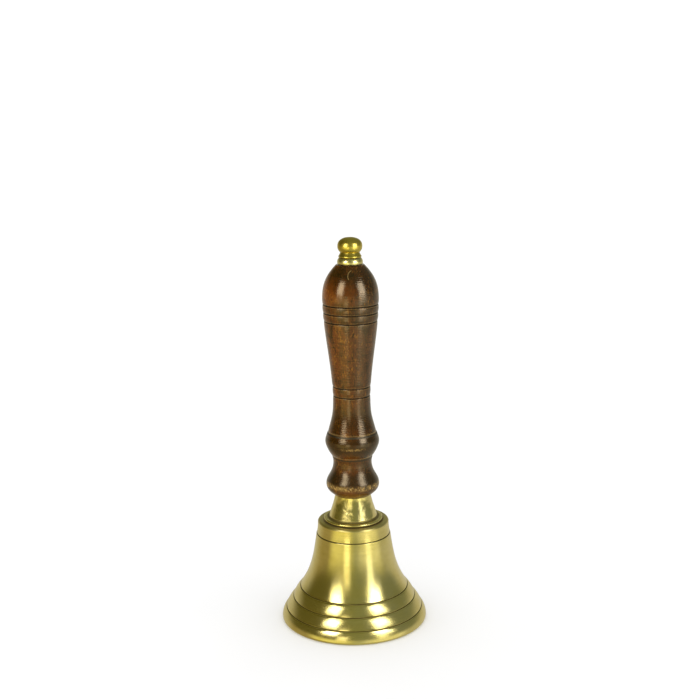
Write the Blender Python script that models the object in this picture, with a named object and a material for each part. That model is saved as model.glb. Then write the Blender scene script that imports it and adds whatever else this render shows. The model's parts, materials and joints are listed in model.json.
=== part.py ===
"""Hand bell: a turned brass bell on a turned wooden handle, clamped together by one tie rod.

The rim of the bell lies in the plane z = 0 and the handle points along +Z. Everything is a stack
on the Z axis: bell, neck socket, handle, finial collar, finial ball. The tie rod runs through the
stack, and the clapper hangs from its lower eye inside the bell.
"""

import math

import bmesh
import bpy
from mathutils import Vector

MM = 0.001
GAP = 0.3 * MM                  # between pieces that touch

# Bell, from the rim upwards
RIM_RADIUS = 47.3 * MM
RIM_ROUND = 1.5 * MM            # height of the rounded lower edge of the rim
RIM_FLAT_IN = 0.9 * MM          # how far the flat under the rim starts inside the widest point
RIM_WALL = 4.4 * MM
BELL_WALL = 3.0 * MM
LIP_RISE = 7.8 * MM             # from the rim plane to the first scored line
LIP_IN = 2.8 * MM
BAND_COUNT = 2
BAND_RISE = 7.0 * MM
BAND_IN = 4.65 * MM
LIP_SWELL = 0.6 * MM
BAND_SWELL = 0.3 * MM
FLARE_RISE = 36.0 * MM
WAIST_RADIUS = 24.0 * MM
FLARE_LEAD = (0.72, 0.32)       # leads and trails are shares, as curve() says
FLARE_TRAIL = (0.18, 0.37)
TOP_BAND_RISE = 8.8 * MM
TOP_BAND_STEP = 0.3 * MM        # the top band starts this much inside the waist line
TOP_BAND_HOLLOW = 0.15 * MM
SHOULDER_IN = 1.0 * MM          # how much narrower the shoulder is than the waist
SHOULDER_ROUND = 1.5 * MM
CROWN_THICKNESS = 3.4 * MM
BELL_SCORE_WIDTH = 0.8 * MM
BELL_SCORE_DEPTH = 0.4 * MM
CORNER_EASE = 0.6               # how full the rounded corners made by a curve are

# Neck socket, the brass ferrule between bell and handle
FLANGE_RADIUS = 19.0 * MM
FLANGE_THICKNESS = 1.6 * MM
FLANGE_ROUND = 0.7 * MM
NECK_RISE = 16.7 * MM
NECK_FOOT_RADIUS = 15.5 * MM
NECK_FILLET = 0.9 * MM
NECK_TOP_RADIUS = 11.5 * MM
NECK_LEAD = (0.38, 0.32)
NECK_TRAIL = (0.12, 0.28)

# Wooden handle: heights of the lower features from its foot, of the upper ones from its top
HANDLE_LENGTH = 149.1 * MM
TENON_RADIUS = 8.3 * MM
TENON_LENGTH = 11.0 * MM
FOOT_RADIUS = 11.9 * MM
BULB_RADIUS = 17.05 * MM
BULB_HEIGHT = 7.3 * MM
BULB_LEAD = (0.70, 0.36)
BULB_TRAIL = (0, 0.40)
COVE_RADIUS = 12.35 * MM
COVE_HEIGHT = 21.8 * MM
COVE_LEAD = (0, 0.34)
COVE_TRAIL = (0, 0.52)
ARRIS_RADIUS = 13.2 * MM        # the sharp corner under the bead
ARRIS_HEIGHT = 26.4 * MM
ARRIS_LEAD = (0, 0.40)
BEAD_RADIUS = 17.3 * MM
BEAD_HEIGHT = 35.6 * MM
BEAD_LEAD = (0.44, 0.22)
BEAD_TRAIL = (0, 0.28)
BEAD_TOP_RADIUS = 15.9 * MM
BEAD_TOP_HEIGHT = 41.0 * MM
BEAD_TOP_LEAD = (0, 0.33)
BEAD_TOP_TRAIL = (0.64, 0.48)
BEAD_STEP = 0.4 * MM
WAIST_WOOD_RADIUS = 11.95 * MM
WAIST_WOOD_HEIGHT = 63.0 * MM
WAIST_WOOD_LEAD = (0.73, 0.46)
WAIST_WOOD_TRAIL = (0, 0.47)
GRIP_RADIUS = 17.8 * MM
GRIP_DROP = 22.0 * MM           # widest point of the grip, below the handle's top
GRIP_LEAD = (0, 0.32)
GRIP_TRAIL = (0, 0.30)
DOME_LEAD = (0, 0.40)
DOME_TRAIL = (0.81, 0.34)
DOME_TOP_RADIUS = 8.9 * MM
LOWER_SCORE_HEIGHTS = (65.6 * MM, 71.6 * MM)
UPPER_SCORE_DROPS = (35.4 * MM, 30.0 * MM, 24.7 * MM)
WOOD_SCORE_WIDTH = 1.0 * MM
WOOD_SCORE_DEPTH = 0.45 * MM

# Finial: a loose collar under a ball nut
COLLAR_RISE = 3.8 * MM
COLLAR_RADIUS = 7.8 * MM
COLLAR_SWELL = 0.55 * MM
COLLAR_TOP_RADIUS = 7.1 * MM
FINIAL_RISE = 12.6 * MM
FINIAL_BEAD_RADIUS = 6.8 * MM
FINIAL_BEAD_RISE = 1.5 * MM
FINIAL_BEAD_SWELL = 0.45 * MM
FINIAL_NECK_RADIUS = 6.2 * MM
FINIAL_BALL_RADIUS = 7.8 * MM
FINIAL_BALL_HALF_HEIGHT = 5.5 * MM
FINIAL_SQUARENESS = 2.5         # 2 is an ellipse, more is boxier
FINIAL_CAP = 4.5 * MM           # solid brass above the end of the tie rod

# Tie rod with its lower eye, and the washer and nut under the crown of the bell
ROD_RADIUS = 2.5 * MM
EYE_RADIUS = 3.6 * MM           # to the middle of the wire
EYE_WIRE = 1.3 * MM
EYE_BELOW_NUT = 0.4 * MM
WASHER_RADIUS = 8.5 * MM
WASHER_THICKNESS = 1.0 * MM
CROWN_NUT_FLATS = 9.0 * MM
CROWN_NUT_HEIGHT = 3.7 * MM

# Clapper and the link that it hangs from
LINK_WIRE = 1.1 * MM
STEM_EYE_WIRE = 1.3 * MM
STEM_EYE_STRAIGHT = 2.0 * MM
EYE_TO_EYE = 0.4 * MM           # between the clapper's eye and the eye of the tie rod
STEM_RADIUS = 2.0 * MM
SPIGOT_RADIUS = 1.5 * MM
CLAPPER_BALL_RADIUS = 10.0 * MM
CLAPPER_SEAT_RADIUS = 3.2 * MM
CLAPPER_NUT_FLATS = 5.5 * MM
CLAPPER_NUT_HEIGHT = 2.2 * MM
SPIGOT_TIP = 0.6 * MM           # of the spigot that shows under its nut
TIP_ABOVE_RIM = 2.0 * MM

# Fineness of the turned surfaces
LARGE_STEPS = 48
MEDIUM_STEPS = 40
SMALL_STEPS = 32
WIRE_SIDES = 10
LOOP_STEPS = 24

# Heights that follow from the sizes above
LINE_HEIGHTS = [LIP_RISE + BAND_RISE * i for i in range(BAND_COUNT + 1)]
LINE_RADII = [RIM_RADIUS - LIP_IN - BAND_IN * i for i in range(BAND_COUNT + 1)]
WAIST_HEIGHT = LINE_HEIGHTS[-1] + FLARE_RISE
BELL_TOP = WAIST_HEIGHT + TOP_BAND_RISE
CROWN_UNDERSIDE = BELL_TOP - CROWN_THICKNESS
NECK_BOTTOM = BELL_TOP + GAP
NECK_TOP = NECK_BOTTOM + NECK_RISE
HANDLE_FOOT = NECK_TOP + GAP
HANDLE_TOP = HANDLE_FOOT + HANDLE_LENGTH
COLLAR_BOTTOM = HANDLE_TOP + GAP
FINIAL_BOTTOM = COLLAR_BOTTOM + COLLAR_RISE + GAP
FINIAL_TOP = FINIAL_BOTTOM + FINIAL_RISE
ROD_TOP = FINIAL_TOP - FINIAL_CAP
ROD_BORE = ROD_RADIUS + GAP
WASHER_BOTTOM = CROWN_UNDERSIDE - GAP - WASHER_THICKNESS
CROWN_NUT_BOTTOM = WASHER_BOTTOM - GAP - CROWN_NUT_HEIGHT
EYE_CENTRE = CROWN_NUT_BOTTOM - EYE_BELOW_NUT - EYE_WIRE - EYE_RADIUS
LINK_AXIS = EYE_CENTRE - EYE_RADIUS
LINK_END_RADIUS = EYE_WIRE + GAP + LINK_WIRE
STEM_EYE_RADIUS = LINK_WIRE + GAP + STEM_EYE_WIRE
CLAPPER_AXIS = LINK_AXIS - EYE_WIRE - EYE_TO_EYE - STEM_EYE_WIRE - STEM_EYE_RADIUS
LINK_STRAIGHT = LINK_AXIS - CLAPPER_AXIS - LINK_END_RADIUS
CLAPPER_NUT_BOTTOM = TIP_ABOVE_RIM + SPIGOT_TIP
CLAPPER_SEAT_DROP = math.sqrt(CLAPPER_BALL_RADIUS ** 2 - CLAPPER_SEAT_RADIUS ** 2)
CLAPPER_BALL_CENTRE = CLAPPER_NUT_BOTTOM + CLAPPER_NUT_HEIGHT + GAP + CLAPPER_SEAT_DROP
SPIGOT_TOP = CLAPPER_BALL_CENTRE + CLAPPER_SEAT_DROP + GAP


def clear_scene():
    for obj in list(bpy.data.objects):
        bpy.data.objects.remove(obj, do_unlink=True)


def make_material(name, colour, roughness, metallic):
    material = bpy.data.materials.new(name)
    material.use_nodes = True
    shader = material.node_tree.nodes["Principled BSDF"]
    shader.inputs["Base Color"].default_value = (*colour, 1.0)
    shader.inputs["Roughness"].default_value = roughness
    shader.inputs["Metallic"].default_value = metallic
    return material


# Outlines are lists of (radius, height) points.

def curve(start, lead, trail, end, steps):
    """A smooth curve from start to end.

    lead is how far it heads off from start before it bends, and trail how straight it runs into
    end, each as shares of the way between them: outwards, then upwards.
    """
    a = Vector(start)
    d = Vector(end)
    way = d - a
    b = a + way * Vector(lead)
    c = d - way * Vector(trail)
    points = []
    for i in range(steps + 1):
        t = i / steps
        s = 1 - t
        points.append(tuple(a * s ** 3 + b * 3 * s * s * t + c * 3 * s * t * t + d * t ** 3))
    return points


def swell(start, end, height, steps):
    """A shallow arc from start to end that stands out by height in the middle."""
    a = Vector(start)
    along = Vector(end) - a
    out = Vector((along.y, -along.x)).normalized() * height
    points = []
    for i in range(steps + 1):
        t = i / steps
        points.append(tuple(a + along * t + out * 4 * t * (1 - t)))
    return points


def quarter(centre, radius, start_degrees, end_degrees, steps):
    """An arc round centre; 0 degrees points outwards and 90 degrees up."""
    points = []
    for i in range(steps + 1):
        angle = math.radians(start_degrees + (end_degrees - start_degrees) * i / steps)
        points.append((centre[0] + radius * math.cos(angle), centre[1] + radius * math.sin(angle)))
    return points


def join(*stretches):
    """One outline from several, leaving out points that repeat the one before."""
    outline = []
    for stretch in stretches:
        for point in stretch:
            if not outline or math.dist(outline[-1], point) > 1e-6:
                outline.append(tuple(point))
    return outline


def radius_at(outline, height):
    """Radius of a rising outline at a height."""
    for (r0, z0), (r1, z1) in zip(outline, outline[1:]):
        if z0 <= height <= z1:
            return r0 + (r1 - r0) * (height - z0) / (z1 - z0)
    return outline[-1][0]


def scored(outline, heights, width, depth):
    """A rising outline with a V-shaped line turned into it at each height."""
    half = width / 2
    kept = [p for p in outline if all(abs(p[1] - h) > half * 1.2 for h in heights)]
    for height in heights:
        kept.append((radius_at(outline, height - half), height - half))
        kept.append((radius_at(outline, height) - depth, height))
        kept.append((radius_at(outline, height + half), height + half))
    return sorted(kept, key=lambda point: point[1])


def offset(outline, distances):
    """The outline moved inwards, square to itself, by its own distance at each point."""
    moved = []
    last = len(outline) - 1
    for i, (radius, height) in enumerate(outline):
        before = Vector(outline[max(i - 1, 0)])
        after = Vector(outline[min(i + 1, last)])
        along = (after - before).normalized()
        moved.append((radius - along.y * distances[i], height + along.x * distances[i]))
    return moved


def object_from(name, bm, material, location=(0, 0, 0)):
    """A smooth-shaded object from a bmesh, with its edges kept sharp past 30 degrees."""
    bmesh.ops.remove_doubles(bm, verts=bm.verts, dist=1e-6)
    bmesh.ops.recalc_face_normals(bm, faces=bm.faces)
    mesh = bpy.data.meshes.new(name)
    bm.to_mesh(mesh)
    bm.free()
    mesh.materials.append(material)
    mesh.shade_smooth()
    mesh.set_sharp_from_angle(angle=math.radians(30))
    obj = bpy.data.objects.new(name, mesh)
    obj.location = location
    bpy.context.scene.collection.objects.link(obj)
    return obj


def turned_bmesh(outline, steps, closed=True):
    """The solid that the outline sweeps round the Z axis."""
    bm = bmesh.new()
    points = [bm.verts.new((radius, 0, height)) for radius, height in outline]
    pairs = list(zip(points, points[1:]))
    if closed:
        pairs.append((points[-1], points[0]))
    edges = [bm.edges.new(pair) for pair in pairs]
    bmesh.ops.spin(bm, geom=points + edges, cent=(0, 0, 0), axis=(0, 0, 1),
                   angle=math.tau, steps=steps, use_merge=True)
    return bm


def turned(name, outline, steps, material, location=(0, 0, 0), closed=True):
    return object_from(name, turned_bmesh(outline, steps, closed), material, location)


def wire_loop_bmesh(across, end_radius, straight, wire, top):
    """A closed loop of round wire in the plane of Z and the axis across.

    Its round ends have end_radius to the middle of the wire, and its upper end is centred on top.
    """
    bm = bmesh.new()
    upper = Vector((0, 0, top))
    side = Vector((0, 0, 1)).cross(across)
    stations = []
    for i in range(LOOP_STEPS):
        angle = math.tau * (i + 0.5) / LOOP_STEPS
        outwards = across * math.cos(angle) + Vector((0, 0, math.sin(angle)))
        centre = upper if math.sin(angle) > 0 else upper - Vector((0, 0, straight))
        stations.append((centre + outwards * end_radius, outwards))
    rings = []
    for middle, outwards in stations:
        ring = []
        for k in range(WIRE_SIDES):
            turn = math.tau * k / WIRE_SIDES
            ring.append(bm.verts.new(middle + (outwards * math.cos(turn) + side * math.sin(turn)) * wire))
        rings.append(ring)
    for i, ring in enumerate(rings):
        following = rings[(i + 1) % LOOP_STEPS]
        for k in range(WIRE_SIDES):
            j = (k + 1) % WIRE_SIDES
            bm.faces.new((ring[k], ring[j], following[j], following[k]))
    return bm


def combine(obj, helper, operation):
    """Joins or cuts obj with a hidden helper solid."""
    helper.hide_render = True
    helper.display_type = "WIRE"
    boolean = obj.modifiers.new(operation.lower(), "BOOLEAN")
    boolean.operation = operation
    boolean.solver = "EXACT"
    boolean.object = helper


def hex_nut(name, flats, height, bore, bottom, material, location=(0, 0, 0)):
    """A hexagon nut with its corners turned off, on a plain bore."""
    corner = flats / math.sqrt(3)
    bm = bmesh.new()
    bmesh.ops.create_cone(bm, cap_ends=True, segments=6, radius1=corner, radius2=corner, depth=height)
    bmesh.ops.translate(bm, verts=bm.verts, vec=(0, 0, bottom + height / 2))
    nut = object_from(name, bm, material, location)
    chamfer = corner - flats / 2
    top = bottom + height
    blank = [
        (bore, bottom), (flats / 2, bottom), (corner + GAP, bottom + chamfer),
        (corner + GAP, top - chamfer), (flats / 2, top), (bore, top),
    ]
    combine(nut, turned(name + "_blank", blank, SMALL_STEPS, material, location), "INTERSECT")
    return nut


def bell_outer():
    """Rising outline of the bell's outside, from the flat under the rim to the top of the shoulder."""
    widest = (RIM_RADIUS, RIM_ROUND)
    edge = curve((RIM_RADIUS - RIM_FLAT_IN, 0), (CORNER_EASE, 0), (0, CORNER_EASE), widest, 3)
    lines = list(zip(LINE_RADII, LINE_HEIGHTS))
    bands = [swell(widest, lines[0], LIP_SWELL, 4)]
    for lower, upper in zip(lines, lines[1:]):
        bands.append(swell(lower, upper, BAND_SWELL, 3))
    waist = (WAIST_RADIUS, WAIST_HEIGHT)
    flare = curve(lines[-1], FLARE_LEAD, FLARE_TRAIL, waist, 9)
    shoulder_radius = WAIST_RADIUS - SHOULDER_IN
    corner = (shoulder_radius - SHOULDER_ROUND, BELL_TOP - SHOULDER_ROUND)
    shoulder = quarter(corner, SHOULDER_ROUND, 0, 90, 3)
    band_foot = (WAIST_RADIUS - TOP_BAND_STEP, WAIST_HEIGHT + TOP_BAND_STEP)
    top_band = swell(band_foot, shoulder[0], -TOP_BAND_HOLLOW, 3)
    return scored(join(edge, *bands, flare, top_band, shoulder), LINE_HEIGHTS + [WAIST_HEIGHT],
                  BELL_SCORE_WIDTH, BELL_SCORE_DEPTH)


def bell_inner():
    """Falling outline of the bell's inside, from the bore in the crown to the flat under the rim."""
    lines = list(zip(LINE_RADII, LINE_HEIGHTS))
    waist = (WAIST_RADIUS, WAIST_HEIGHT)
    flare = curve(lines[-1], FLARE_LEAD, FLARE_TRAIL, waist, 6)
    middle_of_lip = (RIM_RADIUS, RIM_ROUND)
    top = (WAIST_RADIUS - SHOULDER_IN, CROWN_UNDERSIDE - BELL_WALL)
    outside = join([middle_of_lip], lines, flare, [top])
    walls = []
    for _, height in outside:
        share = min(max((height - LIP_RISE) / (LINE_HEIGHTS[-1] - LIP_RISE), 0), 1)
        walls.append(RIM_WALL + (BELL_WALL - RIM_WALL) * share)
    wall_line = [point for point in offset(outside, walls) if point[1] > RIM_ROUND]
    ceiling_corner = curve(wall_line[-1], (0, CORNER_EASE), (CORNER_EASE, 0),
                           (wall_line[-1][0] - BELL_WALL, CROWN_UNDERSIDE), 3)
    rising = join([(RIM_RADIUS - RIM_WALL, 0)], wall_line, ceiling_corner, [(ROD_BORE, CROWN_UNDERSIDE)])
    return list(reversed(rising))


def make_bell(brass):
    outline = join(bell_outer(), [(ROD_BORE, BELL_TOP)], bell_inner())
    return turned("bell", outline, LARGE_STEPS, brass)


def make_neck_socket(brass):
    flange_top = NECK_BOTTOM + FLANGE_THICKNESS
    rounded = quarter((FLANGE_RADIUS - FLANGE_ROUND, flange_top - FLANGE_ROUND), FLANGE_ROUND, 0, 90, 3)
    foot = (NECK_FOOT_RADIUS, flange_top + NECK_FILLET)
    fillet = curve((NECK_FOOT_RADIUS + NECK_FILLET, flange_top), (CORNER_EASE, 0),
                   (0, CORNER_EASE), foot, 3)
    cone = curve(foot, NECK_LEAD, NECK_TRAIL, (NECK_TOP_RADIUS, NECK_TOP), 6)
    socket_floor = HANDLE_FOOT - TENON_LENGTH - GAP
    socket = [
        (TENON_RADIUS + GAP, NECK_TOP), (TENON_RADIUS + GAP, socket_floor),
        (ROD_BORE, socket_floor), (ROD_BORE, NECK_BOTTOM),
    ]
    outline = join([(FLANGE_RADIUS, NECK_BOTTOM)], rounded, fillet, cone, socket)
    return turned("neck_socket", outline, MEDIUM_STEPS, brass)


def handle_outer():
    """Rising outline of the handle's outside, from its foot to its flat top."""
    foot = (FOOT_RADIUS, HANDLE_FOOT)
    bulb = (BULB_RADIUS, HANDLE_FOOT + BULB_HEIGHT)
    cove = (COVE_RADIUS, HANDLE_FOOT + COVE_HEIGHT)
    arris = (ARRIS_RADIUS, HANDLE_FOOT + ARRIS_HEIGHT)
    bead = (BEAD_RADIUS, HANDLE_FOOT + BEAD_HEIGHT)
    bead_top = (BEAD_TOP_RADIUS, HANDLE_FOOT + BEAD_TOP_HEIGHT)
    step = (BEAD_TOP_RADIUS - BEAD_STEP, bead_top[1] + BEAD_STEP)
    waist = (WAIST_WOOD_RADIUS, HANDLE_FOOT + WAIST_WOOD_HEIGHT)
    grip = (GRIP_RADIUS, HANDLE_TOP - GRIP_DROP)
    top = (DOME_TOP_RADIUS, HANDLE_TOP)
    plain = join(
        curve(foot, BULB_LEAD, BULB_TRAIL, bulb, 4),
        curve(bulb, COVE_LEAD, COVE_TRAIL, cove, 7),
        curve(cove, ARRIS_LEAD, (0, 0), arris, 2),
        curve(arris, BEAD_LEAD, BEAD_TRAIL, bead, 4),
        curve(bead, BEAD_TOP_LEAD, BEAD_TOP_TRAIL, bead_top, 3),
        curve(step, WAIST_WOOD_LEAD, WAIST_WOOD_TRAIL, waist, 5),
        curve(waist, GRIP_LEAD, GRIP_TRAIL, grip, 7),
        curve(grip, DOME_LEAD, DOME_TRAIL, top, 6),
    )
    lines = [HANDLE_FOOT + height for height in LOWER_SCORE_HEIGHTS]
    lines += [HANDLE_TOP - drop for drop in UPPER_SCORE_DROPS]
    return scored(plain, lines, WOOD_SCORE_WIDTH, WOOD_SCORE_DEPTH)


def make_handle(wood):
    tenon_end = HANDLE_FOOT - TENON_LENGTH
    through = [(ROD_BORE, HANDLE_TOP), (ROD_BORE, tenon_end), (TENON_RADIUS, tenon_end)]
    outline = join(handle_outer(), through, [(TENON_RADIUS, HANDLE_FOOT)])
    return turned("handle", outline, MEDIUM_STEPS, wood)


def make_finial_collar(brass):
    top = COLLAR_BOTTOM + COLLAR_RISE
    side = swell((COLLAR_RADIUS, COLLAR_BOTTOM), (COLLAR_TOP_RADIUS, top), COLLAR_SWELL, 5)
    outline = join(side, [(ROD_BORE, top), (ROD_BORE, COLLAR_BOTTOM)])
    return turned("finial_collar", outline, SMALL_STEPS, brass)


def make_finial_ball(brass):
    """Ball nut on the rod's upper end: a small bead, a neck and a flattened ball, bored from below."""
    bead_top = FINIAL_BOTTOM + FINIAL_BEAD_RISE
    bead = swell((FINIAL_BEAD_RADIUS, FINIAL_BOTTOM), (FINIAL_BEAD_RADIUS, bead_top), FINIAL_BEAD_SWELL, 4)
    centre = FINIAL_TOP - FINIAL_BALL_HALF_HEIGHT
    power = 2 / FINIAL_SQUARENESS
    start = -math.acos((FINIAL_NECK_RADIUS / FINIAL_BALL_RADIUS) ** (1 / power))
    ball = []
    steps = 11
    for i in range(steps):
        angle = start + (math.pi / 2 - start) * i / steps
        rise = math.copysign(abs(math.sin(angle)) ** power, angle) * FINIAL_BALL_HALF_HEIGHT
        ball.append((FINIAL_BALL_RADIUS * math.cos(angle) ** power, centre + rise))
    bore_end = ROD_TOP + GAP
    inside = [(0, bore_end), (ROD_BORE, bore_end), (ROD_BORE, FINIAL_BOTTOM)]
    outline = join(inside, bead, ball, [(0, FINIAL_TOP)])
    return turned("finial_ball", outline, SMALL_STEPS, brass, closed=False)


def make_tie_rod(steel):
    """The rod, with an eye at its lower end that opens along Y."""
    eye_top = EYE_CENTRE + EYE_RADIUS
    shank = [(0, eye_top), (ROD_RADIUS, eye_top), (ROD_RADIUS, ROD_TOP), (0, ROD_TOP)]
    rod = turned("tie_rod", shank, SMALL_STEPS // 2, steel, closed=False)
    eye = wire_loop_bmesh(Vector((1, 0, 0)), EYE_RADIUS, 0, EYE_WIRE, EYE_CENTRE)
    combine(rod, object_from("tie_rod_eye", eye, steel), "UNION")
    return rod


def make_crown_washer(steel):
    top = WASHER_BOTTOM + WASHER_THICKNESS
    outline = [(ROD_BORE, WASHER_BOTTOM), (WASHER_RADIUS, WASHER_BOTTOM), (WASHER_RADIUS, top), (ROD_BORE, top)]
    return turned("crown_washer", outline, SMALL_STEPS, steel)


def make_clapper_link(steel):
    """Steel link in the YZ plane, with its origin in the middle of the tie rod's eye wire."""
    loop = wire_loop_bmesh(Vector((0, 1, 0)), LINK_END_RADIUS, LINK_STRAIGHT, LINK_WIRE, 0)
    return object_from("clapper_link", loop, steel, (0, 0, LINK_AXIS))


def make_clapper(pivot, steel, brass):
    """Stem, ball and nut, hung on the pivot. Heights here are measured from the pivot."""
    eye_bottom = -STEM_EYE_STRAIGHT - STEM_EYE_RADIUS
    shoulder = SPIGOT_TOP - CLAPPER_AXIS
    tip = TIP_ABOVE_RIM - CLAPPER_AXIS
    shank = [
        (0, eye_bottom), (STEM_RADIUS, eye_bottom), (STEM_RADIUS, shoulder),
        (SPIGOT_RADIUS, shoulder), (SPIGOT_RADIUS, tip), (0, tip),
    ]
    stem = turned("clapper_stem", shank, SMALL_STEPS // 2, steel, closed=False)
    loop = wire_loop_bmesh(Vector((1, 0, 0)), STEM_EYE_RADIUS, STEM_EYE_STRAIGHT, STEM_EYE_WIRE, 0)
    eye = object_from("clapper_stem_eye", loop, steel)
    combine(stem, eye, "UNION")
    centre = CLAPPER_BALL_CENTRE - CLAPPER_AXIS
    seat = math.degrees(math.asin(CLAPPER_SEAT_DROP / CLAPPER_BALL_RADIUS))
    surface = quarter((0, centre), CLAPPER_BALL_RADIUS, -seat, seat, 12)
    bore = SPIGOT_RADIUS + GAP
    bored = [(bore, centre + CLAPPER_SEAT_DROP), (bore, centre - CLAPPER_SEAT_DROP)]
    ball = turned("clapper_ball", join(surface, bored), SMALL_STEPS, brass)
    nut = hex_nut("clapper_nut", CLAPPER_NUT_FLATS, CLAPPER_NUT_HEIGHT, bore,
                  CLAPPER_NUT_BOTTOM - CLAPPER_AXIS, steel)
    for piece in (stem, eye, ball, nut, bpy.data.objects["clapper_nut_blank"]):
        piece.parent = pivot


def make_clapper_pivot(link):
    """The middle of the link's lower wire, where the clapper's eye hangs."""
    pivot = bpy.data.objects.new("clapper_pivot", None)
    bpy.context.scene.collection.objects.link(pivot)
    pivot.parent = link
    pivot.location = (0, 0, CLAPPER_AXIS - LINK_AXIS)
    return pivot


def main():
    clear_scene()
    bell_brass = make_material("bell_brass", (0.72, 0.60, 0.24), 0.28, 1.0)
    neck_brass = make_material("neck_brass", (0.72, 0.61, 0.27), 0.22, 1.0)
    finial_brass = make_material("finial_brass", (0.70, 0.50, 0.08), 0.25, 1.0)
    collar_brass = make_material("collar_brass", (0.72, 0.60, 0.25), 0.25, 1.0)
    clapper_brass = make_material("clapper_brass", (0.60, 0.48, 0.22), 0.35, 1.0)
    wood = make_material("handle_wood", (0.14, 0.05, 0.02), 0.35, 0.0)
    steel = make_material("rod_steel", (0.45, 0.45, 0.46), 0.40, 1.0)
    make_bell(bell_brass)
    make_neck_socket(neck_brass)
    make_handle(wood)
    make_finial_collar(collar_brass)
    make_finial_ball(finial_brass)
    make_tie_rod(steel)
    make_crown_washer(steel)
    hex_nut("crown_nut", CROWN_NUT_FLATS, CROWN_NUT_HEIGHT, ROD_BORE, CROWN_NUT_BOTTOM, steel)
    link = make_clapper_link(steel)
    make_clapper(make_clapper_pivot(link), steel, clapper_brass)


main()
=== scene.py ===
"""Looks of the hand bell: finely turned surfaces, brass, wood and steel materials, and the studio.

Pieces are turned again from the design's sizes, finer than the CAD solids, and placed by the CAD
boxes. Lengths are in metres, in the row frame: the rim stands on z = 0 and the handle points up.
"""

import json
import math

import bmesh
import bpy
from mathutils import Matrix, Vector


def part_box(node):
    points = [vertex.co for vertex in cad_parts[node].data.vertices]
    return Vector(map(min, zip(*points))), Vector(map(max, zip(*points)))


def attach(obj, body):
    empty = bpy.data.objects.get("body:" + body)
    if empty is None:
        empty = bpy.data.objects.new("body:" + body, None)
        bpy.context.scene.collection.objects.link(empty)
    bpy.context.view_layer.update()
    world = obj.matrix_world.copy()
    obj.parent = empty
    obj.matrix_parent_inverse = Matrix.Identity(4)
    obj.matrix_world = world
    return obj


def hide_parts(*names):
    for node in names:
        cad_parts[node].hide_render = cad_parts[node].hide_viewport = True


MM = 0.001
ROOT = "bell_and_handle"

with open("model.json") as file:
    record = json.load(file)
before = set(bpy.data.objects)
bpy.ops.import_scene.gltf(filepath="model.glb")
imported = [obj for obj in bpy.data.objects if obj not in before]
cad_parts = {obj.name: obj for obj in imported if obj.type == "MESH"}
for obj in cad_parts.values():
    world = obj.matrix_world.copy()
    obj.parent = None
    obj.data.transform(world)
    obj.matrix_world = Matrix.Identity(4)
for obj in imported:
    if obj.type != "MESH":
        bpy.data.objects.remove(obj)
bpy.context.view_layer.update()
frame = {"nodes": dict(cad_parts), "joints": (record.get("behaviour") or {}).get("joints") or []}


# Outlines: lists of (radius, height, mark), where mark is 1 at the bottom of a scored line; marks also place
# painted shade in creases, on the bell's shoulder and at the handle's arris and step

def curve(start, lead, trail, end, steps):
    """A smooth curve; lead and trail are shares of the way from start to end, outwards and upwards."""
    a = Vector(start[:2])
    d = Vector(end[:2])
    way = d - a
    b = a + way * Vector(lead)
    c = d - way * Vector(trail)
    points = []
    for i in range(steps + 1):
        t = i / steps
        s = 1 - t
        point = a * s ** 3 + b * 3 * s * s * t + c * 3 * s * t * t + d * t ** 3
        points.append((point.x, point.y, 0.0))
    return points


def swell(start, end, height, steps):
    """A shallow arc from start to end that stands out by height in the middle."""
    a = Vector(start[:2])
    along = Vector(end[:2]) - a
    out = Vector((along.y, -along.x)).normalized() * height
    points = []
    for i in range(steps + 1):
        t = i / steps
        point = a + along * t + out * 4 * t * (1 - t)
        points.append((point.x, point.y, 0.0))
    return points


def arc(centre, radius, start_degrees, end_degrees, steps):
    """An arc round centre; 0 degrees points outwards and 90 degrees up."""
    points = []
    for i in range(steps + 1):
        angle = math.radians(start_degrees + (end_degrees - start_degrees) * i / steps)
        points.append((centre[0] + radius * math.cos(angle), centre[1] + radius * math.sin(angle), 0.0))
    return points


def straight(start, end, steps):
    return swell(start, end, 0.0, steps)


def join(*stretches):
    """One outline from several, leaving out points that repeat the one before."""
    outline = []
    for stretch in stretches:
        for point in stretch:
            if not outline or math.dist(outline[-1][:2], point[:2]) > 1e-6:
                outline.append(point)
    return outline


def radius_at(outline, height):
    """Radius of a rising outline at a height."""
    for (r0, z0, _), (r1, z1, _) in zip(outline, outline[1:]):
        if z0 <= height <= z1:
            return r0 + (r1 - r0) * (height - z0) / (z1 - z0)
    return outline[-1][0]


def scored(outline, heights, width, depth, easing=0.0, ease=0.0):
    """A rising outline with a round-bottomed line turned into it at each height.

    Within easing of a line the surface sinks by up to ease, so that the ribs between lines are crowned.
    The mark runs from 1 at the bottom of a line to -1 along its worn edges.
    """
    half = width / 2
    kept = [p for p in outline if all(abs(p[1] - h) > half * 2.3 for h in heights)]
    for height in heights:
        for share, mark in ((1.35, -1.0), (2.2, 0.0)):
            for side in (-1, 1):
                z = height + side * half * share
                kept.append((radius_at(outline, z), z, mark))
        for i in range(SCORE_STEPS + 1):
            across = 2 * i / SCORE_STEPS - 1
            fall = math.cos(across * math.pi / 2) ** 2
            z = height + across * half
            kept.append((radius_at(outline, z) - depth * fall, z, fall))
    eased = []
    for radius, z, mark in sorted(kept, key=lambda point: point[1]):
        away = min(abs(z - height) for height in heights)
        if away < easing:
            radius -= ease * (1 + math.cos(math.pi * away / easing)) / 2
        eased.append((radius, z, mark))
    return eased


def marked(outline, height, half, mark):
    """The outline with its points near a height marked."""
    return [(r, z, mark if abs(z - height) < half and m == 0 else m) for r, z, m in outline]


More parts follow.
